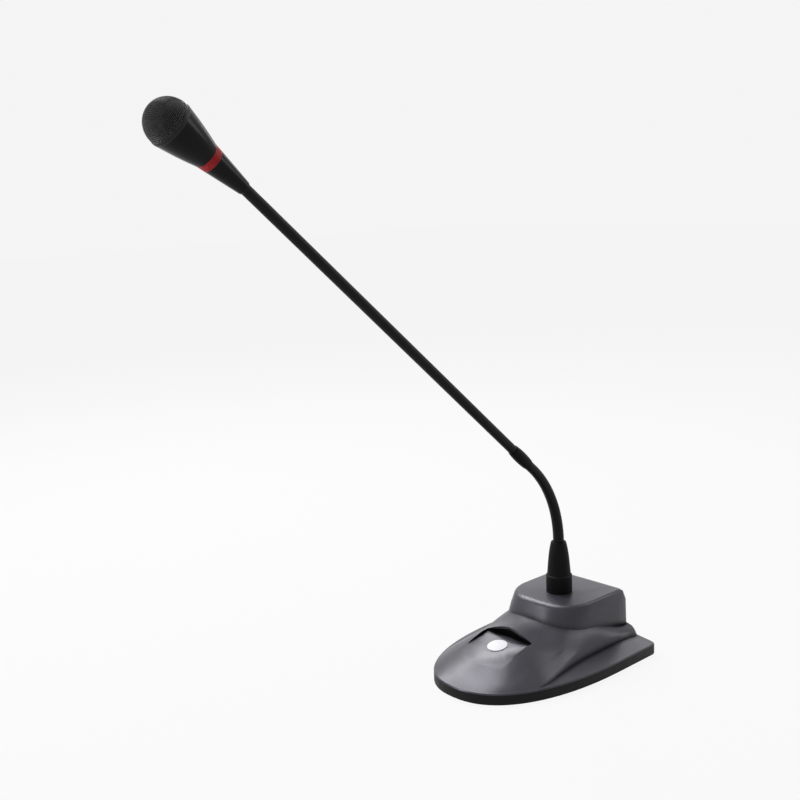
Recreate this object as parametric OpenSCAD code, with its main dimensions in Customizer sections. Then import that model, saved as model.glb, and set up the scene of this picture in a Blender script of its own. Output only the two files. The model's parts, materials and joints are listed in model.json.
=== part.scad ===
// Gooseneck conference microphone on a weighted desk base.
// The neck stands at the origin, the desk is z = 0 and the nose of the base points to -Y.

/* [Base] */
// Width of the base
base_w = 122; // [114:1:140]
// Neck axis to the tip of the nose
nose_len = 118.5; // [110:0.5:135]
// Neck axis to the middle of the rear face
tail_len = 42; // [39:0.5:55]
// How far the rear corners sit in front of the middle of the rear face
tail_bow = 1; // [0.5:0.5:8]
// Round of the rear corners in plan
rear_corner_r = 4; // [1:0.5:8]
// Roundness of the nose in plan, 2 is an ellipse
nose_round = 2.35; // [2:0.05:2.8]
// Height of the line where the housing meets the tray
seam_z = 8; // [7:0.5:11]
// Wall of the moulded housing
shell_wall = 2.5; // [2:0.1:3.5]
// Width of the hump inside the skirt
hump_w = 82; // [78:0.5:90]
// How much wider the hump is, on each side, where the skirt begins
hump_flare = 7; // [4:0.5:9]
// Neck axis to where the skirt begins beside the hump
skirt_start = 81; // [78:1:90]
// How much wider the hump is, on each side, at the rear face
hump_tail_flare = 2; // [0:0.5:4]
// Height of the hump at the hood
hump_h = 35.7; // [32:0.1:38]
// Height of the hump at the rear face
hump_tail_h = 19; // [17:0.5:24]
// Greatest height of the step between skirt and hump
step_h = 4.7; // [2:0.1:6]
// Greatest height of the skirt beside the step, above the seam
skirt_rise = 4; // [2:0.5:6]

/* [Plateau] */
// Height of the plateau's top above the desk
plateau_h = 47.6; // [45:0.2:54]
// Width of the plateau at its foot
plateau_w = 69; // [64:0.5:76]
// Neck axis to the front of the plateau at its foot
plateau_front = 36; // [33:0.5:40]
// Lean of the plateau's sides over its height
plateau_side_lean = 0.8; // [0.5:0.1:4]
// Lean of the plateau's front over its height
plateau_front_lean = 7.2; // [2:0.1:9]
// Round of the plateau's front and side edge
plateau_edge_r = 2.5; // [1.5:0.1:4]
// Round of the plateau's rear edge
plateau_rear_r = 10; // [5:0.1:12]

/* [Panel and talk button] */
// Width of the sunk panel
panel_w = 44; // [36:0.5:48]
// Neck axis to the hood at the top of the panel
hood_y = 58; // [55:0.5:62]
// How far the space under the hood runs back
hood_depth = 3; // [2:0.5:5]
// Thickness of the hood
hood_skin = 1.6; // [1.2:0.1:2]
// Neck axis to the talk button
button_y = 71.4; // [69.4:0.2:76]
// Height of the panel at the talk button
panel_z = 24.8; // [23:0.1:26]
// Slope of the panel
panel_tilt = 10; // [6:0.5:13]
// Diameter of the talk button
button_d = 15; // [12:0.1:17]
// How far the talk button stands proud of the panel
button_proud = 1.2; // [0.8:0.1:2]
// Depth of the talk button's skirt below the panel
button_skirt = 2.7; // [2.6:0.1:4]
// Width of the rim that keeps the talk button in
button_rim = 1.5; // [1:0.1:2]
// Travel of the talk button
button_travel = 1.2; // [0.5:0.1:1.5]

/* [Neck] */
// Diameter of the ferrule at the foot of the neck
ferrule_d = 20; // [18:0.5:23]
// Height of the ferrule
ferrule_h = 13.9; // [12:0.1:20]
// Diameter of the boot at its foot
boot_d = 18.2; // [17:0.2:20]
// Diameter of the boot at its top
boot_top_d = 12; // [11:0.2:14]
// Height of the boot
boot_h = 24.8; // [20:0.1:32]
// Thickness of the ring on the boot
boot_ring_h = 1; // [0.8:0.1:2]
// Diameter of the flexible neck at the boot
neck_low_d = 8.4; // [8:0.1:9]
// Diameter of the flexible neck at the collar
neck_high_d = 7.2; // [6.8:0.1:7.8]
// Length of one step of the flexible neck
link_pitch = 5.94; // [5.6:0.02:8]
// Boot ring to the first bend
neck_stand = 3; // [2.5:0.5:8]
// Lean of the straight tube from upright
neck_lean = 48.5; // [20:0.5:54]
// Bore for the cable through the neck
neck_bore_d = 3.6; // [3:0.1:4]
// Last bend to the foot of the collar
collar_start = 10; // [8:0.5:14]
// Length of the collar
collar_len = 21; // [16:0.5:28]
// Diameter of the collar at its middle
collar_d = 9.2; // [8.8:0.1:11]
// Diameter of the straight tube
tube_d = 7; // [6.6:0.1:7.2]
// Wall of the straight tube
tube_wall = 1; // [0.6:0.1:1.3]
// Last bend to the foot of the head
head_start = 324.4; // [200:0.4:400]
// Lean of the head beyond the tube's line
head_droop = 3.4; // [0:0.1:4]

/* [Head] */
// Diameter of the head where it meets the tube
head_foot_d = 8.6; // [8.2:0.1:9]
// Head foot to the light ring
ring_start = 25.5; // [24:0.5:32]
// Width of the light ring
ring_len = 5; // [4:0.5:7]
// Diameter of the light ring at its rear edge
ring_d = 15.2; // [14.8:0.1:17]
// Diameter of the light ring at its front edge
ring_front_d = 16.4; // [16:0.1:18]
// Head foot to the grille rim
rim_start = 56; // [55:0.5:66]
// Width of the grille rim
rim_len = 2.5; // [2:0.1:4]
// Diameter of the grille rim
rim_d = 28.4; // [28:0.1:34]
// Wall of the head's cones
head_wall = 1.6; // [1.2:0.1:2]
// Thickness of the grille
grille_wall = 0.8; // [0.6:0.1:1.2]
// Diameter of a hole in the grille
grille_hole_d = 1.9; // [1:0.1:2.1]
// Rings of holes in the grille
grille_rings = 5; // [2:1:5]
// Angle from one ring of holes to the next
grille_turn = 12.9; // [12.4:0.1:14]
// Diameter of the capsule
capsule_d = 10; // [8:0.5:12]

/* [Inner parts] */
// Thickness of the tray's floor and wall
tray_wall = 2; // [1.6:0.1:3]
// How far the feet stand proud of the tray
foot_proud = 0.8; // [0.5:0.1:2]
// Diameter of a foot
foot_d = 14; // [10:0.5:18]
// Depth of the recess for a foot
foot_recess = 0.8; // [0.4:0.1:1.2]
// Thickness of the ballast plate
ballast_t = 4; // [3:0.5:5]
// Thickness of the circuit boards
board_t = 1.6; // [1:0.1:2]
// Length of the main board
board_l = 40; // [36:1:46]
// Width of the main board
board_w = 70; // [60:1:76]
// Diameter of the screw posts in the housing
post_d = 7; // [6:0.5:9]
// Diameter of the screws
screw_d = 2.8; // [2.4:0.1:3.4]
// Outer diameter of the threaded neck bush
bush_d = 14; // [12.5:0.5:15]
// Length of the neck bush below the plateau
bush_drop = 10; // [9:0.5:12]
// Bore of the output jack
jack_bore_d = 6.5; // [6.4:0.05:6.6]
// Depth of the output jack's bore
jack_bore_l = 30; // [28:0.5:32]
// Height of the output jack above the desk
jack_z = 24; // [22:0.5:26]
// Diameter of the jack's threaded collar
jack_collar_d = 9; // [8.6:0.1:10]

/* [Clearances] */
// Radial clearance of pieces that are pushed together
fit_gap = 0.05; // [0.02:0.01:0.1]
// Radial clearance of the ball ends of the neck's links
ball_gap = 0.1; // [0.08:0.01:0.12]
// Clearance round the talk button and round loose pieces
loose_gap = 0.2; // [0.15:0.05:0.4]

/* [Hidden] */
LINKS = 11;

$fn = 64;
eps = 0.01;
half_w = base_w / 2;
side_n = 4;
corner_n = 2;
front_n = 48;
rear_n = 8;
rear_first = 2 * (side_n + corner_n) + front_n + 1;
ring_points = rear_first + rear_n - 1;
edge_blend = 6;
plateau_round = 2.5;
plateau_foot_round = 3;
full_step_y = 30;
front_foot_drop = 1.5;
step_power = 0.33;
skirt_power = 0.8;
front_foot_z = hump_h - front_foot_drop;
hump_fall = 1.55;
slope_share = 1.15;
least_rise = 0.3;
cavity_drop = 4;
shoulder_fall = 5.2;
shoulder_y = -50;
shoulder_run = 34;
fall_y = -10;
nose_rise = 1.6;
rim_step = 1;
rim_inset = 0.6;
skirt_inset = 1.1;
step_inset = 1.8;
step_run = 1.8;
step_fade = 0.35;
skirt_droop = 1.3;
droop_y = 25;
skirt_lift = 1.2;
nose_lift = 2;
step_low = 0.5;
nose_top = seam_z + nose_lift;

// Smooth step from 0 to 1
function ease(t) = let (c = min(1, max(0, t))) c * c * (3 - 2 * c);
// Power that keeps the sign
function signed_pow(v, p) = sign(v) * pow(abs(v), p);
// Smaller of two values, rounded over a span
function soft_min(a, b, span) = let (h = max(span - abs(a - b), 0) / span) min(a, b) - h * h * span / 4;
// Rear face in plan
function rear_y(x, tail) = tail - tail_bow * pow(x / half_w, 2);
// Half width of the base at a station
function outline_half(y, d) =
    y >= 0 ? half_w - d
           : (half_w - d) * pow(max(0, 1 - pow(min(1, -y / (nose_len - d)), nose_round)), 1 / nose_round);

// Half width of the hump's edge, which spreads towards the nose and the rear face
function spread(limit, flare, y) =
    limit + (y < 0 ? flare * pow(-y / skirt_start, 2) : hump_tail_flare * pow(y / tail_len, 2));
// Point of a ring's right side, behind the neck
function side_point(y, hw, limit, flare) = [soft_min(hw, spread(limit, flare, y), edge_blend), y];
// One closed ring in plan: right side, nose, left side, rear face
function plan_ring(hw, nose, tail, round, limit = base_w, flare = 0) =
    let (corner = soft_min(hw, spread(limit, flare, tail), edge_blend),
         corner_y = rear_y(corner, tail),
         in_x = corner - rear_corner_r,
         in_y = corner_y - rear_corner_r,
         turns = [for (k = [0 : corner_n]) 90 - 90 * k / corner_n],
         arc = [for (a = turns) [in_x + rear_corner_r * cos(a), in_y + rear_corner_r * sin(a)]])
    concat(
        arc,
        [for (k = [1 : side_n - 1]) side_point(in_y * (1 - k / side_n), hw, limit, flare)],
        [for (k = [0 : front_n])
            let (a = 180 * k / front_n,
                 x = hw * signed_pow(cos(a), 2 / round),
                 y = -nose * pow(sin(a), 2 / round))
            [sign(x) * soft_min(abs(x), spread(limit, flare, y), edge_blend), y]],
        [for (k = [1 : side_n - 1]) let (p = side_point(in_y * k / side_n, hw, limit, flare)) [-p.x, p.y]],
        [for (k = [corner_n : -1 : 0]) [-arc[k].x, arc[k].y]],
        [for (k = [1 : rear_n - 1])
            let (t = 2 * k / rear_n - 1)
            [in_x * t, rear_y(in_x * t, tail) + (corner_y - rear_y(in_x, tail)) * t * t]]);
function is_rear(i) = i >= rear_first;

// Heights of the hump: its crown, the top of its step and the foot of its step
function crown_z(y) =
    y < -hood_y
        ? let (share = max(0, y + nose_len) / (nose_len - hood_y))
          nose_top + (hump_h - nose_top) * pow(sin(90 * share), nose_rise)
        : hump_h - (hump_h - hump_tail_h) * ease((y - fall_y) / (tail_len - fall_y));
function side_fall(y) = hump_fall + (shoulder_fall - hump_fall) * ease((y - shoulder_y) / shoulder_run);
function step_swell(y, power) = pow(ease((y + skirt_start) / (skirt_start - full_step_y)), power);
function step_foot_z(y) =
    seam_z + skirt_lift + (skirt_rise - skirt_lift) * step_swell(y, skirt_power)
    - skirt_droop * ease((y - droop_y) / (tail_len - droop_y));
function step_top_z(y) =
    step_foot_z(y) + step_low
    + (step_h - step_low) * step_swell(y, step_power) * (1 - step_fade * ease(y / tail_len));
function hump_half(y, d) =
    max(0.1, soft_min(outline_half(y, step_inset + d), spread(hump_w / 2 - d, hump_flare, y), edge_blend));
function hump_z(x, y, d) =
    let (t = min(1, abs(x) / hump_half(y, d)), low = step_top_z(y))
    low + (max(crown_z(y), low) - low) * (1 - pow(t, side_fall(y)));

// Height of the panel plane, and the roof over a place in plan
function panel_height(y) = panel_z + (y + button_y) * tan(panel_tilt);
function roof_z(x, y, d) = hump_z(x, y, d) - slope_share * d;

// Plateau: how far up its side or front a height is, and its ring there
function side_share(z) = (z - hump_tail_h) / (plateau_h - hump_tail_h);
function front_share(z) = (z - front_foot_z) / (plateau_h - front_foot_z);
function edge_round(z, r) = z <= plateau_h - r ? 0 : r - sqrt(max(0, r * r - pow(z - plateau_h + r, 2)));
function plateau_ring(z, d) =
    plan_ring(
        plateau_w / 2 - d - plateau_side_lean * side_share(z) - edge_round(z, plateau_edge_r),
        plateau_front - d - plateau_front_lean * front_share(z) - edge_round(z, plateau_edge_r),
        tail_len - d - edge_round(z, plateau_rear_r),
        plateau_foot_round + (plateau_round - plateau_foot_round) * front_share(z));
plateau_levels = [
    plateau_h - plateau_rear_r,
    plateau_h - plateau_edge_r,
    plateau_h - 0.5 * plateau_edge_r,
    plateau_h - 0.15 * plateau_edge_r,
    plateau_h];
hump_levels = [0.12, 0.26, 0.42, 0.6, 0.8, 1];

// The base as stacked rings, drawn in by d for the cavity
function base_rings(d) =
    let (
        edge = plan_ring(half_w - d, nose_len - d, tail_len - d, nose_round),
        rim = plan_ring(half_w - rim_inset - d, nose_len - rim_inset - d, tail_len - d, nose_round),
        foot = plan_ring(half_w - skirt_inset - d, nose_len - skirt_inset - d, tail_len - d, nose_round,
                         hump_w / 2 + step_run - d, hump_flare),
        top = plan_ring(half_w - step_inset - d, nose_len - step_inset - d, tail_len - d, nose_round,
                        hump_w / 2 - d, hump_flare),
        inner = plan_ring(plateau_w / 2 - d, plateau_front - d, tail_len - d, plateau_foot_round))
    concat(
        [[for (p = edge) [p.x, p.y, d == 0 ? seam_z : seam_z - cavity_drop]],
         [for (p = rim) [p.x, p.y, seam_z + rim_step - d]],
         [for (p = foot) [p.x, p.y, step_foot_z(p.y) - d]],
         [for (p = top) [p.x, p.y, step_top_z(p.y) - d]]],
        [for (v = hump_levels)
            [for (i = [0 : ring_points - 1])
                let (p = top[i] + (inner[i] - top[i]) * v,
                     low = step_top_z(p.y) - d,
                     high = max(low + least_rise, roof_z(inner[i].x, inner[i].y, d)))
                [p.x, p.y, is_rear(i) ? low + (high - low) * v
                                      : max(low + least_rise * v, roof_z(p.x, p.y, d))]]],
        [for (z = plateau_levels) [for (p = plateau_ring(z, d)) [p.x, p.y, z - d]]]);

// A closed solid over stacked rings of as many points, with a fan of triangles on each end
function ring_middle(r) = [for (p = r) 1] * r / len(r);
module loft(rings) {
    m = len(rings[0]);
    top = (len(rings) - 1) * m;
    low_mid = len(rings) * m;
    high_mid = low_mid + 1;
    polyhedron(
        points = concat(
            [for (r = rings) for (p = r) p],
            [ring_middle(rings[0]), ring_middle(rings[len(rings) - 1])]),
        faces = concat(
            [for (i = [0 : m - 1]) [low_mid, (i + 1) % m, i]],
            [for (r = [0 : len(rings) - 2]) for (i = [0 : m - 1])
                let (a = r * m + i, b = r * m + (i + 1) % m) each [[a, b, a + m], [b, b + m, a + m]]],
            [for (i = [0 : m - 1]) [high_mid, top + i, top + (i + 1) % m]]),
        convexity = 8);
}

// A round tube along a route in the plane x = 0
module routed_tube(route, d, sides) {
    n = len(route);
    rings = [for (k = [0 : n - 1])
        let (ahead = route[min(k + 1, n - 1)] - route[max(k - 1, 0)],
             along = ahead / norm(ahead),
             across = [0, -along.z, along.y])
        [for (i = [0 : sides - 1])
            let (a = 360 * i / sides) route[k] + d / 2 * (cos(a) * [1, 0, 0] + sin(a) * across)]];
    loft(rings);
}

// Frame of the panel at the talk button, with z along its normal
module at_button() {
    translate([0, -button_y, panel_z]) rotate([panel_tilt, 0, 0]) children();
}

// Heights in the base
floor_z = foot_proud + tray_wall;
ballast_top = floor_z + ballast_t;
board_lift = 2.8;
board_z = ballast_top + board_lift;
board_front_in = 82.5;
board_y = board_front_in - nose_len;
standoff_in = 4;
standoffs = [for (sx = [-1, 1], sy = [-1, 1])
    [sx * (board_w / 2 - standoff_in), board_y + sy * (board_l / 2 - standoff_in)]];
standoff_d = 6;
post_rear_in = [23, 36];
post_front_in = [27, 54.5];
tray_posts = [for (sx = [-1, 1]) each [
    [sx * (half_w - post_rear_in.x), tail_len - post_rear_in.y],
    [sx * (half_w - post_front_in.x), post_front_in.y - nose_len]]];
foot_rear_in = [15, 18];
foot_front_in = [30, 36.5];
foot_places = concat([[0, 0]], [for (sx = [-1, 1]) each [
    [sx * (half_w - foot_rear_in.x), tail_len - foot_rear_in.y],
    [sx * (half_w - foot_front_in.x), foot_front_in.y - nose_len]]]);
screw_head_d = 5.5;
screw_head_h = 1.2;
screw_hole_d = screw_d - 0.4;
board_screw_d = screw_d - 0.8;
board_screw_head = [4.4, 1.2];
board_screw_l = 5;
post_grip = 8;

// Talk button and switch, measured down the panel's normal
button_hole_d = button_d + 2 * loose_gap;
button_rim_room = 1.4;
rim_top = -shell_wall - loose_gap;
button_rim_t = 1.3;
rim_foot = rim_top - button_rim_t;
plunger_d = 3.5;
plunger_rest = 0.4;
plunger_well = 0.6;
plunger_lift = 0.8;
switch_top = rim_foot - button_travel - plunger_rest;
switch_h = 3.4;
switch_w = 12;
switch_post_gap = 4;
switch_board_margin = 7;
switch_foot = switch_top - switch_h;
switch_post_x = button_d / 2 + button_rim + switch_post_gap;
switch_post_d = 5;
switch_board_w = 2 * switch_post_x + switch_board_margin;
switch_board_l = 20;

// Space over the sunk panel back to a station, grown by d for the wall round it
module panel_pocket(d, back) {
    far = nose_len + 10;
    high = 2 * plateau_h;
    drop = d / cos(panel_tilt);
    rotate([90, 0, 90]) linear_extrude(panel_w + 2 * d, center = true) polygon([
        [-far, panel_height(-far) - drop],
        [back + d, panel_height(back + d) - drop],
        [back + d, high],
        [-far, high]]);
}

module screw_posts(top) {
    for (p = tray_posts) translate([p.x, p.y, floor_z]) cylinder(h = top - floor_z, d = post_d);
}

module switch_posts() {
    at_button() for (sx = [-1, 1])
        translate([sx * switch_post_x, 0, switch_foot]) cylinder(h = -switch_foot, d = switch_post_d);
}

// Moulded housing with its sunk panel, screw posts and openings
module base_housing() {
    color("#4b4b53") difference() {
        union() {
            loft(base_rings(0));
            screw_posts(seam_z + 1);
        }
        difference() {
            loft(base_rings(shell_wall));
            screw_posts(plateau_h);
            switch_posts();
            panel_pocket(shell_wall, hood_depth - hood_y);
        }
        panel_pocket(0, -hood_y);
        intersection() {
            loft(base_rings(hood_skin));
            panel_pocket(0, hood_depth - hood_y);
        }
        at_button() {
            translate([0, 0, -plateau_h / 2]) cylinder(h = plateau_h, d = button_hole_d);
            translate([0, 0, -plateau_h / 2 - shell_wall])
                cylinder(h = plateau_h / 2, d = button_d + 2 * button_rim + button_rim_room);
            for (sx = [-1, 1]) translate([sx * switch_post_x, 0, switch_foot - eps])
                cylinder(h = board_screw_l - 1, d = board_screw_d);
        }
        translate([0, 0, plateau_h / 2]) cylinder(h = plateau_h, d = bush_d + 2 * fit_gap);
        translate([0, tail_len / 2, jack_z]) rotate([-90, 0, 0])
            cylinder(h = tail_len, d = jack_collar_d + 2 * fit_gap);
        for (p = tray_posts) translate([p.x, p.y, floor_z - eps]) cylinder(h = post_grip, d = screw_hole_d);
    }
}

module base_plan(d) {
    polygon(plan_ring(half_w - d, nose_len - d, tail_len - d, nose_round));
}

// Black tray with its board standoffs
module bottom_tray() {
    color("#161618") difference() {
        union() {
            difference() {
                translate([0, 0, foot_proud]) linear_extrude(seam_z - foot_proud) base_plan(0);
                translate([0, 0, floor_z]) linear_extrude(seam_z) base_plan(tray_wall);
            }
            for (p = standoffs) translate([p.x, p.y, floor_z - eps])
                cylinder(h = board_z - floor_z + eps, d = standoff_d);
        }
        for (p = foot_places) translate([p.x, p.y, foot_proud - eps])
            cylinder(h = foot_recess + eps, d = foot_d + 2 * loose_gap);
        for (p = tray_posts) translate([p.x, p.y, 0]) {
            cylinder(h = 2 * floor_z, d = screw_d + 2 * loose_gap);
            cylinder(h = foot_proud + screw_head_h, d = screw_head_d + 2 * loose_gap);
        }
        for (p = standoffs) translate([p.x, p.y, floor_z + 1])
            cylinder(h = board_z, d = board_screw_d);
    }
}

// Rubber feet
module feet() {
    color("#202022") for (p = foot_places) translate([p.x, p.y, 0])
        cylinder(h = foot_proud + foot_recess, d = foot_d);
}

// Pan screw pointing up, with the underside of its head at z = 0
module screw(d, head_d, head_h, length) {
    rotate_extrude() polygon([
        [0, -head_h],
        [head_d / 2, -head_h],
        [head_d / 2, 0],
        [d / 2, 0],
        [d / 2, length],
        [0, length]]);
}

// Screws that hold the tray to the housing
module tray_screws() {
    color("#8a8d92") for (p = tray_posts) translate([p.x, p.y, foot_proud + screw_head_h])
        screw(screw_hole_d - 2 * fit_gap, screw_head_d, screw_head_h, post_grip);
}

// Steel plate that keeps the base down
ballast_inset = 9;
module ballast_plate() {
    color("#6c7076") translate([0, 0, floor_z]) difference() {
        linear_extrude(ballast_t) base_plan(ballast_inset);
        for (p = tray_posts) translate([p.x, p.y, -1])
            cylinder(h = ballast_t + 2, d = post_d + 4 * loose_gap);
        for (p = standoffs) translate([p.x, p.y, -1])
            cylinder(h = ballast_t + 2, d = standoff_d + 4 * loose_gap);
    }
}

// Main circuit board
module main_board() {
    color("#1f6b3a") difference() {
        translate([-board_w / 2, board_y - board_l / 2, board_z]) cube([board_w, board_l, board_t]);
        for (p = standoffs) translate([p.x, p.y, board_z - 1])
            cylinder(h = board_t + 2, d = board_screw_d + 2 * loose_gap);
    }
}

// Screws that hold the main board
module board_screws() {
    color("#8a8d92") for (p = standoffs) translate([p.x, p.y, board_z + board_t]) rotate([180, 0, 0])
        screw(board_screw_d - 2 * fit_gap, board_screw_head.x, board_screw_head.y, board_screw_l);
}

// Connector that takes the lead from the neck
connector_y = board_y + board_l / 4;
connector_size = [9, 7, 5];
module lead_connector() {
    color("#e8e4d8") translate([-connector_size.x / 2, connector_y - connector_size.y / 2, board_z + board_t])
        cube(connector_size);
}

// Lead from the neck to its connector
lead_d = 3;
lead_dip = [0.46, 0.77];
lead_end = [0, connector_y, board_z + board_t + connector_size.z];
lead_route = [
    [0, 0, plateau_h + 8],
    [0, 0, plateau_h - bush_drop - 4],
    [0, -4, plateau_h - bush_drop - 9],
    [0, lead_dip[0] * connector_y, lead_end.z + 7],
    [0, lead_dip[1] * connector_y, lead_end.z + 6],
    [0, connector_y, lead_end.z + 3],
    lead_end];
module neck_lead() {
    color("#2b2b2b") routed_tube(lead_route, lead_d, 8);
}

// Small board under the talk button
module switch_board() {
    color("#1f6b3a") at_button() translate([0, 0, switch_foot - board_t]) difference() {
        translate([-switch_board_w / 2, -switch_board_l / 2, 0])
            cube([switch_board_w, switch_board_l, board_t]);
        for (sx = [-1, 1]) translate([sx * switch_post_x, 0, -1])
            cylinder(h = board_t + 2, d = board_screw_d + 2 * loose_gap);
    }
}

// Screws that hold the small board to the housing's posts
module switch_screws() {
    color("#8a8d92") at_button() for (sx = [-1, 1]) translate([sx * switch_post_x, 0, switch_foot - board_t])
        screw(board_screw_d - 2 * fit_gap, board_screw_head.x, board_screw_head.y, board_screw_l);
}

// Push switch
module switch_body() {
    color("#26262a") at_button() difference() {
        translate([-switch_w / 2, -switch_w / 2, switch_foot]) cube([switch_w, switch_w, switch_h]);
        translate([0, 0, switch_foot + plunger_well]) cylinder(h = switch_h, d = plunger_d + 2 * ball_gap);
    }
}

// Plunger of the switch, pushed by the talk button
module switch_plunger() {
    color("#d8c9a0") at_button() translate([0, 0, switch_foot + plunger_lift + button_travel])
        cylinder(h = rim_foot - switch_foot - plunger_lift - button_travel, d = plunger_d);
}

// White talk button with a domed top and a rim that keeps it in
module talk_button() {
    dome = button_proud * 0.6;
    dome_r = (pow(button_d / 2, 2) + dome * dome) / (2 * dome);
    color("#f2f2f0") at_button() {
        intersection() {
            translate([0, 0, -button_skirt]) cylinder(h = button_skirt + button_proud, d = button_d);
            translate([0, 0, button_proud - dome_r]) sphere(r = dome_r, $fn = 128);
        }
        translate([0, 0, rim_foot]) cylinder(h = rim_top - rim_foot, d = button_d + 2 * button_rim);
    }
}

// Output jack on the rear face
jack_body = [16, jack_bore_l, 14];
jack_proud = 2.5;
jack_nut_t = 2;
jack_nut_d = jack_collar_d + 5;
jack_back = tail_len - shell_wall - loose_gap;
module jack_socket() {
    color("#1b1b1d") translate([0, 0, jack_z]) difference() {
        union() {
            translate([-jack_body.x / 2, jack_back - jack_body.y, -jack_body.z / 2]) cube(jack_body);
            translate([0, jack_back - eps, 0]) rotate([-90, 0, 0])
                cylinder(h = tail_len - jack_back + jack_proud, d = jack_collar_d);
        }
        translate([0, tail_len + jack_proud - jack_bore_l, 0]) rotate([-90, 0, 0])
            cylinder(h = jack_bore_l + 1, d = jack_bore_d);
    }
}

// Ring nut of the output jack
module jack_nut() {
    color("#9a9da3") translate([0, tail_len, jack_z]) rotate([-90, 0, 0]) difference() {
        cylinder(h = jack_nut_t, d = jack_nut_d);
        translate([0, 0, -1]) cylinder(h = jack_nut_t + 2, d = jack_collar_d + 2 * fit_gap);
    }
}

// Heights up the neck
ferrule_top = plateau_h + ferrule_h;
boot_top = ferrule_top + boot_h;
first_bend = boot_top + boot_ring_h + neck_stand;
spigot_h = 1.5;
bush_top = ferrule_top - spigot_h - loose_gap;

// Black band at the foot of the neck
ferrule_bevel = 0.8;
module base_ferrule() {
    color("#131313") translate([0, 0, plateau_h]) rotate_extrude() polygon([
        [bush_d / 2 + fit_gap, 0],
        [ferrule_d / 2, 0],
        [ferrule_d / 2, ferrule_h - ferrule_bevel],
        [ferrule_d / 2 - ferrule_bevel, ferrule_h],
        [bush_d / 2 + fit_gap, ferrule_h]]);
}

// Tapered boot, with a spigot into the ferrule and a round shoulder
function boot_r(t) = boot_d / 2 - (boot_d - boot_top_d) / 2 * (0.65 * t + 0.35 * pow(t, 4));
module boot_profile() {
    bore = neck_low_d / 2 + fit_gap;
    steps = 10;
    polygon(concat(
        [[bore, -spigot_h],
         [bush_d / 2, -spigot_h],
         [bush_d / 2, 0]],
        [for (k = [0 : steps]) [boot_r(k / steps), boot_h * k / steps]],
        [[bore, boot_h]]));
}
module neck_boot() {
    color("#131313") translate([0, 0, ferrule_top]) rotate_extrude() boot_profile();
}

// Thin ring on the boot
module boot_ring() {
    color("#3a3a3c") translate([0, 0, boot_top]) rotate_extrude() polygon([
        [neck_low_d / 2 + fit_gap, 0],
        [boot_top_d / 2, 0],
        [boot_top_d / 2 - 0.3, boot_ring_h],
        [neck_low_d / 2 + fit_gap, boot_ring_h]]);
}

// Threaded bush that carries the neck through the plateau
module neck_bush() {
    color("#8f9296") translate([0, 0, plateau_h - bush_drop]) difference() {
        cylinder(h = bush_top - plateau_h + bush_drop, d = bush_d);
        translate([0, 0, -1]) cylinder(h = 2 * bush_top, d = neck_low_d + 2 * fit_gap);
    }
}

// Washer and nut that clamp the bush under the plateau
washer_t = 1;
washer_d = bush_d + 10;
nut_t = 5;
nut_d = bush_d + 9;
module neck_washer() {
    color("#a4a7ab") translate([0, 0, plateau_h - shell_wall - washer_t]) difference() {
        cylinder(h = washer_t, d = washer_d);
        translate([0, 0, -1]) cylinder(h = washer_t + 2, d = bush_d + 2 * fit_gap);
    }
}
module neck_nut() {
    color("#a4a7ab") translate([0, 0, plateau_h - shell_wall - washer_t - nut_t]) difference() {
        cylinder(h = nut_t, d = nut_d, $fn = 6);
        translate([0, 0, -1]) cylinder(h = nut_t + 2, d = bush_d + 2 * fit_gap);
    }
}

// Bends of the flexible neck: places, headings and radii
bend_step = neck_lean / (LINKS + 1);
function heading(k) = k * bend_step;
function bend_at(k) =
    k <= 1 ? [0, 0, first_bend]
           : bend_at(k - 1) + link_pitch * [0, -sin(heading(k - 1)), cos(heading(k - 1))];
function neck_r(k) = (neck_low_d + (neck_high_d - neck_low_d) * (k - 1) / LINKS) / 2;
cup_drop = 1.7;
arc_steps = 9;

// Ball end round the origin, from the bore up to its equator
function ball_arc(r) =
    let (a0 = -acos(neck_bore_d / 2 / r))
    [for (i = [0 : arc_steps]) let (a = a0 * (1 - i / arc_steps)) [r * cos(a), r * sin(a)]];
// Cup end for a ball at height h, from its rim down to the bore
function cup_arc(r, h) =
    let (c = r + ball_gap, a0 = -asin(cup_drop / c), a1 = -acos(neck_bore_d / 2 / c))
    [for (i = [0 : arc_steps]) let (a = a0 + (a1 - a0) * i / arc_steps) [c * cos(a), h + c * sin(a)]];

// Fixed foot of the flexible neck, with a cup for the first link
stub_lift = 2;
stub_foot = plateau_h + stub_lift;
module neck_stub() {
    r = neck_r(1);
    h = first_bend - stub_foot;
    color("#1a1a1a") translate([0, 0, stub_foot]) rotate_extrude() polygon(concat(
        [[neck_bore_d / 2, 0], [r, 0], [r, h - cup_drop]],
        cup_arc(r, h)));
}

// One link of the flexible neck
module neck_link(k) {
    color("#1a1a1a") translate(bend_at(k)) rotate([heading(k), 0, 0]) rotate_extrude() polygon(concat(
        ball_arc(neck_r(k)),
        [[neck_r(k + 1), link_pitch - cup_drop]],
        cup_arc(neck_r(k + 1), link_pitch)));
}

// Frame of the straight tube, with z along it from the last bend
module on_tube(s) {
    translate(bend_at(LINKS + 1)) rotate([neck_lean, 0, 0]) translate([0, 0, s]) children();
}

// Upper end fitting of the flexible neck
end_share = 0.35;
end_len = collar_start + collar_len * end_share;
module neck_end() {
    r = neck_r(LINKS + 1);
    color("#1a1a1a") on_tube(0) rotate_extrude() polygon(concat(
        ball_arc(r),
        [[r, end_len], [neck_bore_d / 2, end_len]]));
}

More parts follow.
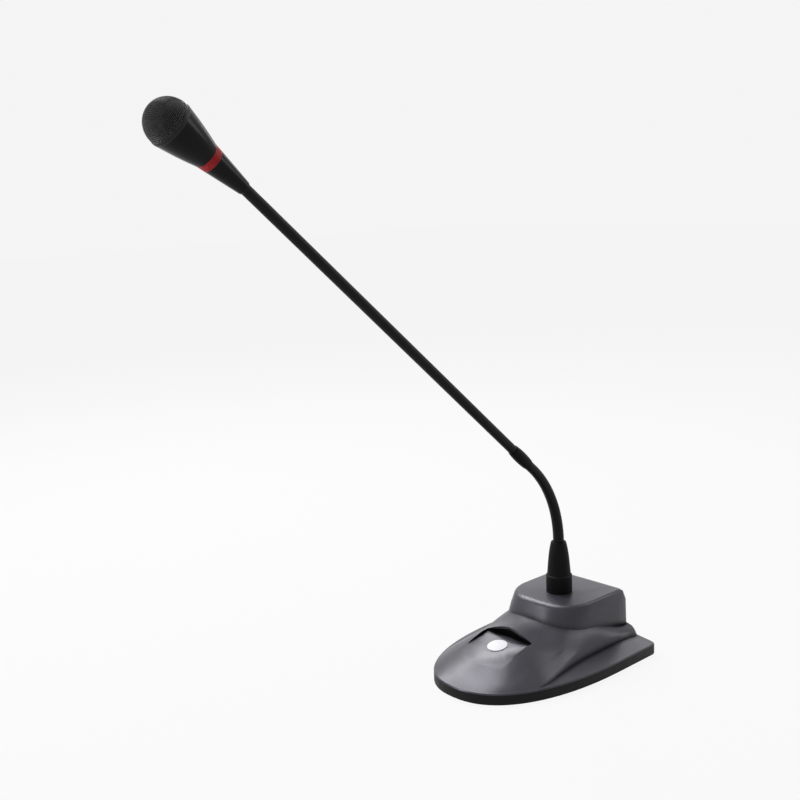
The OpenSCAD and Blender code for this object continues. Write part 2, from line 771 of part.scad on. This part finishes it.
// Swollen collar over the joint between the neck end and the tube
collar_fullness = 0.7;
module neck_collar() {
    bore = max(neck_high_d, tube_d) / 2 + fit_gap;
    lip = 0.3;
    steps = 16;
    color("#171717") on_tube(collar_start) rotate_extrude() polygon(concat(
        [[bore, 0]],
        [for (k = [0 : steps])
            let (swell = pow(sin(180 * k / steps), collar_fullness))
            [bore + lip + (collar_d / 2 - bore - lip) * swell, collar_len * k / steps]],
        [[bore, collar_len]]));
}

// Straight tube from the collar into the head
tube_grip = 10;
module upper_tube() {
    color("#171717") on_tube(end_len) difference() {
        cylinder(h = head_start + tube_grip - end_len, d = tube_d);
        translate([0, 0, -1]) cylinder(h = head_start + tube_grip, d = tube_d - 2 * tube_wall);
    }
}

// Head, measured from its foot along its own line, which leans a little beyond the tube's
board_gap = 1.8;
spigot_len = 4.5;
ring_wall = 1.5;
spigot_wall = 0.9;
ring_spigot = ring_d / 2 - ring_wall;
ring_bore = ring_spigot - spigot_wall;
function way(lean) = [0, -sin(lean), cos(lean)];
function tube_point(s) = bend_at(LINKS + 1) + s * way(neck_lean);
module on_head(s) {
    on_tube(head_start) rotate([head_droop, 0, 0]) translate([0, 0, s]) children();
}

// Cable in the straight tube, up to the ring board
cable_d = neck_bore_d - 4 * fit_gap;
cable_sides = 16;
module tube_cable() {
    foot = tube_point(head_start);
    color("#2b2b2b") routed_tube([
        tube_point(collar_start),
        foot,
        foot + (ring_start + board_gap) * way(neck_lean + head_droop)], cable_d, cable_sides);
}

// Slim rear funnel of the head, with a socket on the tube's line
module head_rear_cone() {
    stop = tube_d / 2 - tube_wall;
    color("#101012") difference() {
        on_head(0) rotate_extrude() polygon([
            [stop, 0],
            [head_foot_d / 2 - 0.3, 0],
            [head_foot_d / 2, 0.8],
            [ring_d / 2, ring_start],
            [ring_spigot + fit_gap, ring_start],
            [ring_spigot + fit_gap, ring_start - spigot_len - loose_gap],
            [stop + 0.9, tube_grip + 3],
            [stop, tube_grip + 1.5]]);
        on_tube(head_start - tube_grip) cylinder(h = 2 * tube_grip, d = tube_d + 2 * fit_gap);
    }
}

// Red ring that joins the two funnels and spreads the light
module light_ring() {
    color("#a02a30") on_head(ring_start) rotate_extrude() polygon([
        [ring_bore, -spigot_len],
        [ring_spigot, -spigot_len],
        [ring_spigot, 0],
        [ring_d / 2, 0],
        [ring_front_d / 2, ring_len],
        [ring_spigot, ring_len],
        [ring_spigot, ring_len + spigot_len],
        [ring_bore, ring_len + spigot_len]]);
}

// Round board inside the light ring
ring_board_t = 1.2;
module ring_board() {
    color("#1f6b3a") on_head(ring_start + board_gap) difference() {
        cylinder(h = ring_board_t, r = ring_bore - fit_gap);
        translate([0, 0, -1]) cylinder(h = ring_board_t + 2, d = 1.5);
    }
}

// Lights on the round board
ring_light_n = 6;
module ring_lights() {
    size = [1.2, 1.6, 0.8];
    color("#f0d9d4") on_head(ring_start + board_gap + ring_board_t) for (k = [0 : ring_light_n - 1])
        rotate([0, 0, 360 * k / ring_light_n]) translate([ring_bore - 2.2, -size.y / 2, 0]) cube(size);
}

// Wide front funnel of the head, slightly bellied
cone_start = ring_start + ring_len;
cone_len = rim_start - cone_start;
function cone_r(t) = ring_front_d / 2 + (rim_d / 2 - 0.15 - ring_front_d / 2) * (t + 0.06 * sin(180 * t));
cup_start = 0.72;
cup_end = 0.88;
cone_steps = 8;
module head_front_cone() {
    seat = spigot_len + loose_gap;
    color("#101012") on_head(cone_start) rotate_extrude() polygon(concat(
        [[ring_spigot + fit_gap, 0]],
        [for (k = [0 : cone_steps]) [cone_r(k / cone_steps), cone_len * k / cone_steps]],
        [for (k = [cone_steps : -1 : 2])
            [cone_r(k / cone_steps) - head_wall, cone_len * k / cone_steps]],
        [[ring_spigot + fit_gap, seat]]));
}

// Round board behind the capsule
head_board_at = 0.6;
module head_board() {
    r = cone_r(head_board_at) - head_wall - loose_gap;
    color("#1f6b3a") on_head(cone_start + cone_len * head_board_at) cylinder(h = ring_board_t, r = r);
}

// Rubber cup that holds the capsule
module capsule_cup() {
    foot = cone_start + cone_len * cup_start;
    h = cone_len * (cup_end - cup_start);
    color("#2a2a2a") on_head(foot) rotate_extrude() polygon([
        [0, 0],
        [cone_r(cup_start) - head_wall - loose_gap, 0],
        [cone_r(cup_end) - head_wall - loose_gap, h],
        [capsule_d / 2 + fit_gap, h],
        [capsule_d / 2 + fit_gap, 1.4],
        [0, 1.4]]);
}

// Microphone capsule
module capsule() {
    color("#b9bcc0") on_head(cone_start + cone_len * cup_start + 1.4) cylinder(h = 6.5, d = capsule_d);
}

// Rim that carries the grille
dome_start = rim_start + rim_len;
dome_r = rim_d / 2 - 0.3;
module grille_rim() {
    color("#1b1c1f") on_head(rim_start) rotate_extrude() polygon([
        [dome_r - grille_wall - 0.6, 0],
        [rim_d / 2 - 0.15, 0],
        [rim_d / 2, 0.5],
        [rim_d / 2, rim_len - 0.5],
        [rim_d / 2 - 0.3, rim_len],
        [dome_r - grille_wall - 0.6, rim_len]]);
}

// Half of a hollow ball over the rim
module half_shell(r, wall) {
    rotate_extrude() intersection() {
        difference() {
            circle(r = r);
            circle(r = r - wall);
        }
        square(2 * r);
    }
}

// Domed grille with rings of holes
module grille_dome() {
    color("#2c2d31") on_head(dome_start) difference() {
        half_shell(dome_r, grille_wall);
        for (j = [1 : grille_rings]) {
            count = 6 * j - (j > 4 ? 3 : 0);
            for (k = [0 : count - 1]) rotate([0, grille_turn * j, 360 * (k + 0.5) / count])
                translate([0, 0, dome_r / 2]) cylinder(h = dome_r, d = grille_hole_d, $fn = 14);
        }
    }
}

// Foam lining of the grille
foam_t = 2.4;
module foam_liner() {
    color("#17181a") on_head(dome_start) half_shell(dome_r - grille_wall - loose_gap, foam_t);
}

base_housing();
bottom_tray();
feet();
tray_screws();
ballast_plate();
main_board();
board_screws();
lead_connector();
neck_lead();
switch_board();
switch_screws();
switch_body();
switch_plunger();
talk_button();
jack_socket();
jack_nut();
base_ferrule();
neck_boot();
boot_ring();
neck_bush();
neck_washer();
neck_nut();
neck_stub();
for (k = [1 : LINKS]) neck_link(k);
neck_end();
neck_collar();
upper_tube();
tube_cable();
head_rear_cone();
light_ring();
ring_board();
ring_lights();
head_front_cone();
head_board();
capsule_cup();
capsule();
foam_liner();
grille_rim();
grille_dome();
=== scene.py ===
"""Looks of a gooseneck conference microphone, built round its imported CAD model.

Everything is in metres in the CAD frame: the neck stands on the origin, the desk is z = 0 and the nose of
the base points to -Y.
"""

import json
import math

import bpy
from mathutils import Matrix, Quaternion, Vector

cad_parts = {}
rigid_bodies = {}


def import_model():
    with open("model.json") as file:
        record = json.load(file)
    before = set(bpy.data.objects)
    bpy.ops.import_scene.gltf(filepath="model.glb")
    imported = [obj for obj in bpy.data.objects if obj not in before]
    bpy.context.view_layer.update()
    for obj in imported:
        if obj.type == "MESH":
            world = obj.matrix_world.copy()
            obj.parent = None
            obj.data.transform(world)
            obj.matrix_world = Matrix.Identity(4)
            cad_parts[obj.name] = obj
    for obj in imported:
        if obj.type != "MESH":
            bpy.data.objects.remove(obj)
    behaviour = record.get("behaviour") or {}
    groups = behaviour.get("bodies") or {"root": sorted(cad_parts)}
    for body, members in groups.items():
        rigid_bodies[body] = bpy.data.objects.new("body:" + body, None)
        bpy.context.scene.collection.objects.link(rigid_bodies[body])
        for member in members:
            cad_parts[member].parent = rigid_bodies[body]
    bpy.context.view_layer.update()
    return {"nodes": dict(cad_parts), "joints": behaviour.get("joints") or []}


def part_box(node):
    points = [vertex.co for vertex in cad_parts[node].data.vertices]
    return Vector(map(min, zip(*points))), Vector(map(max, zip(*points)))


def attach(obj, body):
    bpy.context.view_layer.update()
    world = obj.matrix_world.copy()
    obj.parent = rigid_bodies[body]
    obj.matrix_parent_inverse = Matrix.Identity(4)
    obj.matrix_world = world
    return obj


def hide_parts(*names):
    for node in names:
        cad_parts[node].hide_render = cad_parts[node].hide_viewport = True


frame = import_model()
nodes = frame["nodes"]

MM = 0.001

# Neck and head, as the CAD model has them

NECK_LEAN = math.radians(48.5)
HEAD_LEAN = NECK_LEAN + math.radians(3.4)
NECK_LOW_R = 4.2 * MM
NECK_HIGH_R = 3.6 * MM
COLLAR_START = 10 * MM
HEAD_FOOT = 324.4 * MM
DOME_START = 58.5 * MM
DOME_R = 13.9 * MM

# Sleeve, wire mesh and smoothing

SLEEVE_CATCH = 1.5 * MM
SLEEVE_SIDES = 40
SLEEVE_STEPS = 6
LEAST_TURN = 1e-9
BALL_TURNS = [math.radians(a) for a in (14, 28, 42, 56, 70, 82)]
WIRE = 0.5 * MM
MESH_CELLS = 24
MERGE_GAP = 0.002 * MM
MOULDING_CREASE = math.radians(32)
SLEEVE_CREASE = math.radians(40)
WIRE_CREASE = math.radians(50)

# Grey moulding of the housing, with shade painted into its creases

PEARL_DARK = (0.035, 0.0335, 0.042)
PEARL_LIGHT = (0.043, 0.0415, 0.051)
PEARL_TINT = (0.91, 0.89, 1, 1)
PEARL_SHINE = 0.46
FLAKE_SCALE = 4200.0
FLAKE_DARK = (0.8, 0.8, 0.8)
FLAKE_LIGHT = (1.2, 1.2, 1.2)
CREASE_REACH = 6 * MM
CREASE_SAMPLES = 12
CREASE_CLOSED = 0.8
CREASE_OPEN = 0.98
CREASE_LEAST = 0.06
PAINTED_SHADE_BLACK = (0.004, 0.004, 0.005, 1)

# Camera, floor and light

CAMERA_SPOT = Vector((0.53934, -0.64388, 0.3636))
CAMERA_AIM = Vector((0, -0.15764, 0.22346))
CAMERA_ROLL = math.radians(-2.428)
CAMERA_LENS = 50.89
CAMERA_SENSOR = 36.0
FLOOR_SIZE = 12
FLOOR_GREY = (0.5, 0.5, 0.5, 1)
FLOOR_SEEN = 0.9
WHITE = (1, 1, 1, 1)
WORLD_DIM = 0.05
WORLD_SEEN = 0.91
LAMP_AIM = Vector((0, -0.08, 0.1))
LAMP_DISTANCE = 1.3


# Selecting and editing, as by hand


def let_go():
    """Nothing is selected and no object is being edited."""
    if bpy.context.object and bpy.context.object.mode != "OBJECT":
        bpy.ops.object.mode_set(mode="OBJECT")
    bpy.ops.object.select_all(action="DESELECT")


def take(piece):
    """Only this piece is selected and active."""
    let_go()
    bpy.context.view_layer.objects.active = piece
    piece.select_set(True)


def into_mesh(piece):
    """The piece is left with its place in its mesh and its object at the origin."""
    take(piece)
    bpy.ops.object.transform_apply(location=True, rotation=True, scale=True)


def wear(piece, finish):
    """The piece gets this material alone."""
    piece.data.materials.clear()
    piece.data.materials.append(finish)


# Finishes


def start_finish(name):
    """A new material with its shader and its Object coordinates."""
    finish = bpy.data.materials.new(name)
    finish.use_nodes = True
    tree = finish.node_tree
    shader = tree.nodes["Principled BSDF"]
    place = tree.nodes.new("ShaderNodeTexCoord")
    return finish, tree, shader, place


def noise(tree, place, scale, detail=4.0):
    """Noise on Object coordinates, with so many features to a metre."""
    made = tree.nodes.new("ShaderNodeTexNoise")
    made.inputs["Scale"].default_value = scale
    made.inputs["Detail"].default_value = detail
    made.inputs["Roughness"].default_value = 0.55
    tree.links.new(place.outputs["Object"], made.inputs["Vector"])
    return made.outputs["Fac"]


def spread(tree, source, low, high):
    """The middle of a value's range, from 0.3 to 0.7, spread from low to high."""
    made = tree.nodes.new("ShaderNodeMapRange")
    made.inputs["From Min"].default_value = 0.3
    made.inputs["From Max"].default_value = 0.7
    made.inputs["To Min"].default_value = low
    made.inputs["To Max"].default_value = high
    tree.links.new(source, made.inputs["Value"])
    return made.outputs["Result"]


def shades(tree, source, dark, light):
    """The middle of a value's range, from 0.3 to 0.7, as a colour between two shades."""
    made = tree.nodes.new("ShaderNodeValToRGB")
    made.color_ramp.elements[0].position = 0.3
    made.color_ramp.elements[0].color = (*dark, 1)
    made.color_ramp.elements[1].position = 0.7
    made.color_ramp.elements[1].color = (*light, 1)
    tree.links.new(source, made.inputs["Fac"])
    return made.outputs["Color"]


def relief(tree, shader, source, depth, strength):
    """Relief on the surface from a value."""
    made = tree.nodes.new("ShaderNodeBump")
    made.inputs["Strength"].default_value = strength
    made.inputs["Distance"].default_value = depth
    tree.links.new(source, made.inputs["Height"])
    tree.links.new(made.outputs["Normal"], shader.inputs["Normal"])


def uneven_gloss(tree, shader, place, scale, detail, low, high):
    """Roughness that wanders between two values."""
    smear = noise(tree, place, scale, detail)
    tree.links.new(spread(tree, smear, low, high), shader.inputs["Roughness"])


def fine_grain(tree, shader, place, scale, depth, strength):
    """A fine even grain."""
    relief(tree, shader, noise(tree, place, scale, 2.0), depth, strength)


def moulded(name, colour, rough, shine, grain, bump, vary=0.12, metal=0.0):
    """A moulded or painted finish: cloudy colour, uneven gloss and a fine grain."""
    finish, tree, shader, place = start_finish(name)
    dark = [c * (1 - vary) for c in colour]
    light = [c * (1 + vary) for c in colour]
    cloud = shades(tree, noise(tree, place, 38.0), dark, light)
    tree.links.new(cloud, shader.inputs["Base Color"])
    uneven_gloss(tree, shader, place, 140.0, 6.0, rough * 0.88, rough * 1.12)
    fine_grain(tree, shader, place, grain, 0.06 * MM, bump)
    shader.inputs["Specular IOR Level"].default_value = shine
    shader.inputs["Metallic"].default_value = metal
    return finish


def painted_crease_shade(tree):
    """Painted shade: 1 on open faces, falling to a small value deep in a crease, where light is shut out.
    """
    crease = tree.nodes.new("ShaderNodeAmbientOcclusion")
    crease.only_local = True
    crease.samples = CREASE_SAMPLES
    crease.inputs["Distance"].default_value = CREASE_REACH
    shade = tree.nodes.new("ShaderNodeMapRange")
    shade.inputs["From Min"].default_value = CREASE_CLOSED
    shade.inputs["From Max"].default_value = CREASE_OPEN
    shade.inputs["To Min"].default_value = CREASE_LEAST
    tree.links.new(crease.outputs["AO"], shade.inputs["Value"])
    return shade.outputs["Result"]


def pearl_grey():
    """Dark grey moulding with fine metal flakes, with shade painted into its creases as darker colour and
    less shine.
    """
    finish, tree, shader, place = start_finish("pearl_grey_moulding")
    flake = tree.nodes.new("ShaderNodeTexVoronoi")
    flake.inputs["Scale"].default_value = FLAKE_SCALE
    tree.links.new(place.outputs["Object"], flake.inputs["Vector"])
    flaked = tree.nodes.new("ShaderNodeMix")
    flaked.data_type = "RGBA"
    flaked.blend_type = "MULTIPLY"
    flaked.inputs["Factor"].default_value = 1.0
    tree.links.new(shades(tree, noise(tree, place, 22.0), PEARL_DARK, PEARL_LIGHT), flaked.inputs["A"])
    tree.links.new(shades(tree, flake.outputs["Color"], FLAKE_DARK, FLAKE_LIGHT), flaked.inputs["B"])
    # Painted shade: deep in creases the colour goes to near black and the shine drops, standing in for
    # light shut out there.
    shade = painted_crease_shade(tree)
    crease_shaded_colour = tree.nodes.new("ShaderNodeMix")
    crease_shaded_colour.data_type = "RGBA"
    crease_shaded_colour.inputs["A"].default_value = PAINTED_SHADE_BLACK
    tree.links.new(shade, crease_shaded_colour.inputs["Factor"])
    tree.links.new(flaked.outputs["Result"], crease_shaded_colour.inputs["B"])
    tree.links.new(crease_shaded_colour.outputs["Result"], shader.inputs["Base Color"])
    shine = tree.nodes.new("ShaderNodeMath")
    shine.operation = "MULTIPLY"
    shine.inputs[1].default_value = PEARL_SHINE
    tree.links.new(shade, shine.inputs[0])
    tree.links.new(shine.outputs["Value"], shader.inputs["Specular IOR Level"])
    uneven_gloss(tree, shader, place, 90.0, 6.0, 0.29, 0.35)
    fine_grain(tree, shader, place, 2600.0, 0.02 * MM, 0.12)
    shader.inputs["Specular Tint"].default_value = PEARL_TINT
    return finish


def red_lens():
    """Clouded red plastic of the light ring."""
    finish, tree, shader, place = start_finish("red_lens")
    cloud = shades(tree, noise(tree, place, 160.0), (0.56, 0.024, 0.03), (0.68, 0.034, 0.04))
    tree.links.new(cloud, shader.inputs["Base Color"])
    uneven_gloss(tree, shader, place, 400.0, 4.0, 0.36, 0.46)
    fine_grain(tree, shader, place, 3000.0, 0.02 * MM, 0.1)
    shader.inputs["Specular IOR Level"].default_value = 0.16
    shader.inputs["Subsurface Weight"].default_value = 0.25
    shader.inputs["Subsurface Radius"].default_value = (0.004, 0.0008, 0.0008)
    return finish


def brushed(name, colour, rough):
    """Plain turned metal with fine streaks."""
    finish, tree, shader, place = start_finish(name)
    streak = tree.nodes.new("ShaderNodeMapping")
    streak.inputs["Scale"].default_value = (60.0, 60.0, 2200.0)
    tree.links.new(place.outputs["Object"], streak.inputs["Vector"])
    lines = tree.nodes.new("ShaderNodeTexNoise")
    lines.inputs["Scale"].default_value = 1.0
    tree.links.new(streak.outputs["Vector"], lines.inputs["Vector"])
    streaks = lines.outputs["Fac"]
    dark = [c * 0.85 for c in colour]
    tree.links.new(shades(tree, streaks, dark, colour), shader.inputs["Base Color"])
    tree.links.new(spread(tree, streaks, rough, rough * 1.4), shader.inputs["Roughness"])
    relief(tree, shader, streaks, 0.02 * MM, 0.2)
    shader.inputs["Metallic"].default_value = 1.0
    return finish


housing_grey = pearl_grey()
tray_black = moulded("tray_black", (0.007, 0.007, 0.008), rough=0.5, shine=0.16, grain=1900, bump=0.35)
boot_black = moulded("boot_black", (0.0042, 0.0042, 0.0046), rough=0.55, shine=0.1, grain=2600, bump=0.3)
neck_black = moulded("neck_black", (0.005, 0.005, 0.0054), rough=0.48, shine=0.13, grain=3200, bump=0.2)
cone_black = moulded("cone_black", (0.0045, 0.0045, 0.0055), rough=0.2, shine=0.11, grain=3000, bump=0.08)
grille_black = moulded("grille_black", (0.15, 0.15, 0.155), rough=0.42, shine=0.6, grain=3400, bump=0.3)
rim_black = moulded("rim_black", (0.016, 0.016, 0.017), rough=0.4, shine=0.2, grain=3400, bump=0.2)
foam_black = moulded(
    "foam_black", (0.012, 0.012, 0.0125), rough=0.95, shine=0.05, grain=1500, bump=1.0, vary=0.4
)
rubber_black = moulded("rubber_black", (0.018, 0.018, 0.019), rough=0.8, shine=0.15, grain=1400, bump=0.6)
button_white = moulded(
    "button_white", (0.8, 0.79, 0.82), rough=0.5, shine=0.2, grain=2400, bump=0.1, vary=0.02
)
board_green = moulded("board_green", (0.02, 0.14, 0.055), rough=0.4, shine=0.4, grain=900, bump=0.4)
pale_plastic = moulded(
    "pale_plastic", (0.7, 0.67, 0.6), rough=0.5, shine=0.3, grain=1800, bump=0.2, vary=0.04
)
ballast_grey = moulded(
    "ballast_grey", (0.2, 0.21, 0.22), rough=0.6, shine=0.4, grain=700, bump=0.6, metal=0.8
)
ring_red = red_lens()
plain_steel = brushed("plain_steel", (0.52, 0.53, 0.55), rough=0.3)
capsule_metal = brushed("capsule_metal", (0.62, 0.62, 0.64), rough=0.28)

FINISH_OF = {
    "base_housing": housing_grey,
    "bottom_tray": tray_black,
    "feet": rubber_black,
    "tray_screws": plain_steel,
    "ballast_plate": ballast_grey,
    "main_board": board_green,
    "board_screws": plain_steel,
    "lead_connector": pale_plastic,
    "neck_lead": rubber_black,
    "switch_board": board_green,
    "switch_screws": plain_steel,
    "switch_body": tray_black,
    "switch_plunger": pale_plastic,
    "talk_button": button_white,
    "jack_socket": tray_black,
    "jack_nut": plain_steel,
    "base_ferrule": boot_black,
    "neck_boot": boot_black,
    "boot_ring": boot_black,
    "neck_bush": plain_steel,
    "neck_washer": plain_steel,
    "neck_nut": plain_steel,
    "neck_collar": boot_black,
    "upper_tube": neck_black,
    "tube_cable": rubber_black,
    "head_rear_cone": cone_black,
    "light_ring": ring_red,
    "ring_board": board_green,
    "ring_lights": pale_plastic,
    "head_front_cone": cone_black,
    "head_board": board_green,
    "capsule_cup": rubber_black,
    "capsule": capsule_metal,
    "foam_liner": foam_black,
    "grille_rim": rim_black,
    "grille_dome": grille_black,
}
for node_name, node_object in nodes.items():
    wear(node_object, FINISH_OF.get(node_name, neck_black))


# Housing and tray: the two mouldings of the base with their facets smoothed


def smooth_moulding(node, name, finish):
    """A merged copy of a base moulding whose curved faces are shaded as one."""
    piece = bpy.data.objects.new(name, nodes[node].data.copy())
    bpy.context.scene.collection.objects.link(piece)
    take(piece)
    bpy.ops.object.mode_set(mode="EDIT")
    bpy.ops.mesh.select_all(action="SELECT")
    bpy.ops.mesh.remove_doubles(threshold=MERGE_GAP)
    bpy.ops.mesh.customdata_custom_splitnormals_clear()
    bpy.ops.object.mode_set(mode="OBJECT")
    bpy.ops.object.shade_smooth_by_angle(angle=MOULDING_CREASE)
    wear(piece, finish)
    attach(piece, "base")
    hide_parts(node)


# Flexible neck: a smooth black sleeve, in one length for each link


def along(heading):
    """The way the neck points at a heading from upright."""
    return Vector((0, -math.sin(heading), math.cos(heading)))


def neck_chain():
    """The neck's joints from the base to the arm."""
    by_parent = {j["parent"]: j for j in frame["joints"] if j["name"].startswith("neck_")}
    chain = []
    body = "base"
    while body in by_parent:
        chain.append(by_parent[body])
        body = by_parent[body]["child"]
    return chain


def sleeve_length(name, stations):
    """A closed round tube through stations of centre, heading and radius."""
    let_go()
    centre, heading, radius = stations[0]
    bpy.ops.mesh.primitive_circle_add(
        vertices=SLEEVE_SIDES, radius=radius, fill_type="NGON", location=centre, rotation=(heading, 0, 0)
    )
    piece = bpy.context.object
    piece.name = name
    into_mesh(piece)
    bpy.ops.object.mode_set(mode="EDIT")
    bpy.ops.mesh.select_all(action="SELECT")
    for last, new in zip(stations, stations[1:]):
        bpy.ops.mesh.extrude_region_move(TRANSFORM_OT_translate={"value": new[0] - last[0]})
        turn = new[1] - last[1]
        if abs(turn) > LEAST_TURN:
            bpy.ops.transform.rotate(value=-turn, orient_axis="X", center_override=new[0])
        size = new[2] / last[2]
        bpy.ops.transform.resize(value=(size, size, size), center_override=new[0])
    bpy.ops.mesh.select_all(action="SELECT")
    bpy.ops.mesh.normals_make_consistent(inside=False)
    bpy.ops.object.mode_set(mode="OBJECT")
    bpy.ops.object.shade_smooth_by_angle(angle=SLEEVE_CREASE)
    return piece


def make_neck():
    """One sleeve length for each link, with a ball on top that fills the joint as the neck bends."""
    chain = neck_chain()
    places = [Vector(j["pos_m"]) for j in chain]
    count = len(places)
    step = NECK_LEAN / count
    half = (places[1] - places[0]).length / 2
    bend_r = half / math.sin(step / 2)
    hub = places[0] - bend_r * Vector((0, math.cos(step / 2), math.sin(step / 2)))
    bodies = ["base"] + [j["child"] for j in chain]
    links = ["neck_stub"] + [f"neck_link_{k}" for k in range(1, count)] + ["neck_end"]

    def station(joint):
        """Centre, heading and radius on the bend, counted in joints from the first."""
        heading = step * (joint + 0.5)
        centre = hub + bend_r * Vector((0, math.cos(heading), math.sin(heading)))
        return centre, heading, NECK_LOW_R + (NECK_HIGH_R - NECK_LOW_R) * (joint + 0.5) / count

    for k, (body, link) in enumerate(zip(bodies, links)):
        first = max(k - 1, -0.5)
        last = min(k, count - 0.5)
        stations = []
        if k == 0:
            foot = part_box("boot_ring")[1].z - SLEEVE_CATCH
            stations.append((Vector((0, 0, foot)), 0.0, NECK_LOW_R))
        for i in range(SLEEVE_STEPS + 1):
            stations.append(station(first + (last - first) * i / SLEEVE_STEPS))
        centre, heading, radius = stations[-1]
        if k < count:
            for turn in BALL_TURNS:
                rise = along(heading) * radius * math.sin(turn)
                stations.append((centre + rise, heading, radius * math.cos(turn)))
        else:
            reach = places[-1] + along(NECK_LEAN) * (COLLAR_START + SLEEVE_CATCH)
            stations.append((reach, NECK_LEAN, NECK_HIGH_R))
        piece = sleeve_length(f"neck_sleeve_{k}", stations)
        wear(piece, neck_black)
        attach(piece, body)
        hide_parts(link)


# Grille: a ball of fine wire mesh


def make_grille():
    """Half a ball of square wire mesh on the rim."""
    foot = Vector(neck_chain()[-1]["pos_m"]) + along(NECK_LEAN) * HEAD_FOOT
    let_go()
    bpy.ops.mesh.primitive_cube_add(size=2 * DOME_R, location=(0, 0, 0))
    piece = bpy.context.object
    piece.name = "grille_mesh"
    bpy.ops.object.mode_set(mode="EDIT")
    bpy.ops.mesh.select_all(action="SELECT")
    bpy.ops.mesh.subdivide(number_cuts=MESH_CELLS - 1)
    bpy.ops.transform.tosphere(value=1.0)
    bpy.ops.mesh.bisect(plane_co=(0, 0, 0), plane_no=(0, 0, 1), clear_inner=True)
    bpy.ops.object.mode_set(mode="OBJECT")
    reach = max(v.co.length for v in piece.data.vertices)
    size = (DOME_R - WIRE / 2) / reach
    piece.scale = (size, size, size)
    piece.rotation_euler = (HEAD_LEAN, 0, 0)
    piece.location = foot + along(HEAD_LEAN) * DOME_START
    into_mesh(piece)
    net = piece.modifiers.new("wires", "WIREFRAME")
    net.thickness = WIRE
    net.use_replace = True
    net.use_even_offset = False
    bpy.ops.object.modifier_apply(modifier=net.name)
    bpy.ops.object.shade_smooth_by_angle(angle=WIRE_CREASE)
    wear(piece, grille_black)
    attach(piece, "arm")
    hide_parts("grille_dome")


smooth_moulding("base_housing", "housing_shell", housing_grey)
smooth_moulding("bottom_tray", "tray_shell", tray_black)
make_neck()
make_grille()


# Camera, floor and light


def make_camera():
    """The camera where the photograph was taken from."""
    lens = bpy.data.cameras.new("studio_camera")
    lens.sensor_width = CAMERA_SENSOR
    lens.lens = CAMERA_LENS
    eye = bpy.data.objects.new("studio_camera", lens)
    bpy.context.scene.collection.objects.link(eye)
    level = (CAMERA_AIM - CAMERA_SPOT).to_track_quat("-Z", "Y")
    turn = level @ Quaternion((0, 0, 1), CAMERA_ROLL)
    eye.matrix_world = Matrix.LocRotScale(CAMERA_SPOT, turn, None)
    bpy.context.scene.camera = eye


def seen_light(tree):
    """1 where the camera, a reflection or a clear piece looks straight at a surface."""
    rays = tree.nodes.new("ShaderNodeLightPath")
    first = tree.nodes.new("ShaderNodeMath")
    first.operation = "MAXIMUM"
    tree.links.new(rays.outputs["Is Camera Ray"], first.inputs[0])
    tree.links.new(rays.outputs["Is Glossy Ray"], first.inputs[1])
    both = tree.nodes.new("ShaderNodeMath")
    both.operation = "MAXIMUM"
    tree.links.new(first.outputs["Value"], both.inputs[0])
    tree.links.new(rays.outputs["Is Transmission Ray"], both.inputs[1])
    return both.outputs["Value"]


def make_floor():
    """A pale floor that keeps a soft shadow."""
    let_go()
    bpy.ops.mesh.primitive_plane_add(size=FLOOR_SIZE, location=(0, 0, 0))
    floor = bpy.context.object
    floor.name = "studio_floor"
    finish = bpy.data.materials.new("studio_floor")
    finish.use_nodes = True
    tree = finish.node_tree
    tree.nodes.remove(tree.nodes["Principled BSDF"])
    matt = tree.nodes.new("ShaderNodeBsdfDiffuse")
    matt.inputs["Color"].default_value = FLOOR_GREY
    pale = tree.nodes.new("ShaderNodeEmission")
    pale.inputs["Color"].default_value = WHITE
    share = tree.nodes.new("ShaderNodeMath")
    share.operation = "MULTIPLY"
    share.inputs[1].default_value = FLOOR_SEEN
    tree.links.new(seen_light(tree), share.inputs[0])
    mixed = tree.nodes.new("ShaderNodeMixShader")
    tree.links.new(share.outputs["Value"], mixed.inputs["Fac"])
    tree.links.new(matt.outputs["BSDF"], mixed.inputs[1])
    tree.links.new(pale.outputs["Emission"], mixed.inputs[2])
    tree.links.new(mixed.outputs["Shader"], tree.nodes["Material Output"].inputs["Surface"])
    floor.data.materials.append(finish)


def make_world():
    """Even pale surroundings, bright only where they are looked at."""
    world = bpy.data.worlds.new("studio")
    bpy.context.scene.world = world
    world.use_nodes = True
    tree = world.node_tree
    sky = tree.nodes["Background"]
    sky.inputs["Color"].default_value = WHITE
    level = tree.nodes.new("ShaderNodeMapRange")
    level.inputs["To Min"].default_value = WORLD_DIM
    level.inputs["To Max"].default_value = WORLD_SEEN
    tree.links.new(seen_light(tree), level.inputs["Value"])
    tree.links.new(level.outputs["Result"], sky.inputs["Strength"])


def make_lamp(name, way, size, power):
    """A soft lamp that looks at the object from one way, so wide and so high."""
    light = bpy.data.lights.new(name, "AREA")
    light.shape = "RECTANGLE"
    light.size = size[0]
    light.size_y = size[1]
    light.energy = power
    lamp = bpy.data.objects.new(name, light)
    bpy.context.scene.collection.objects.link(lamp)
    lamp.location = LAMP_AIM + Vector(way).normalized() * LAMP_DISTANCE
    lamp.rotation_euler = (LAMP_AIM - lamp.location).to_track_quat("-Z", "Y").to_euler()


make_camera()
make_floor()
make_world()
make_lamp("left_lamp", way=(-0.69, 0.05, 0.72), size=(0.42, 0.8), power=9.4)
make_lamp("left_rear_lamp", way=(-0.63, 0.4, 0.67), size=(0.3, 0.3), power=4.4)
make_lamp("rear_lamp", way=(-0.33, 0.84, 0.43), size=(0.3, 0.3), power=0.5)
make_lamp("top_lamp", way=(-0.3, -0.02, 0.95), size=(0.6, 0.45), power=7.2)
make_lamp("right_rear_lamp", way=(0.45, 0.71, 0.54), size=(0.35, 0.85), power=2.8)
make_lamp("left_front_lamp", way=(-0.49, -0.76, 0.43), size=(0.16, 0.3), power=4.7)
bpy.context.scene.view_settings.view_transform = "Standard"
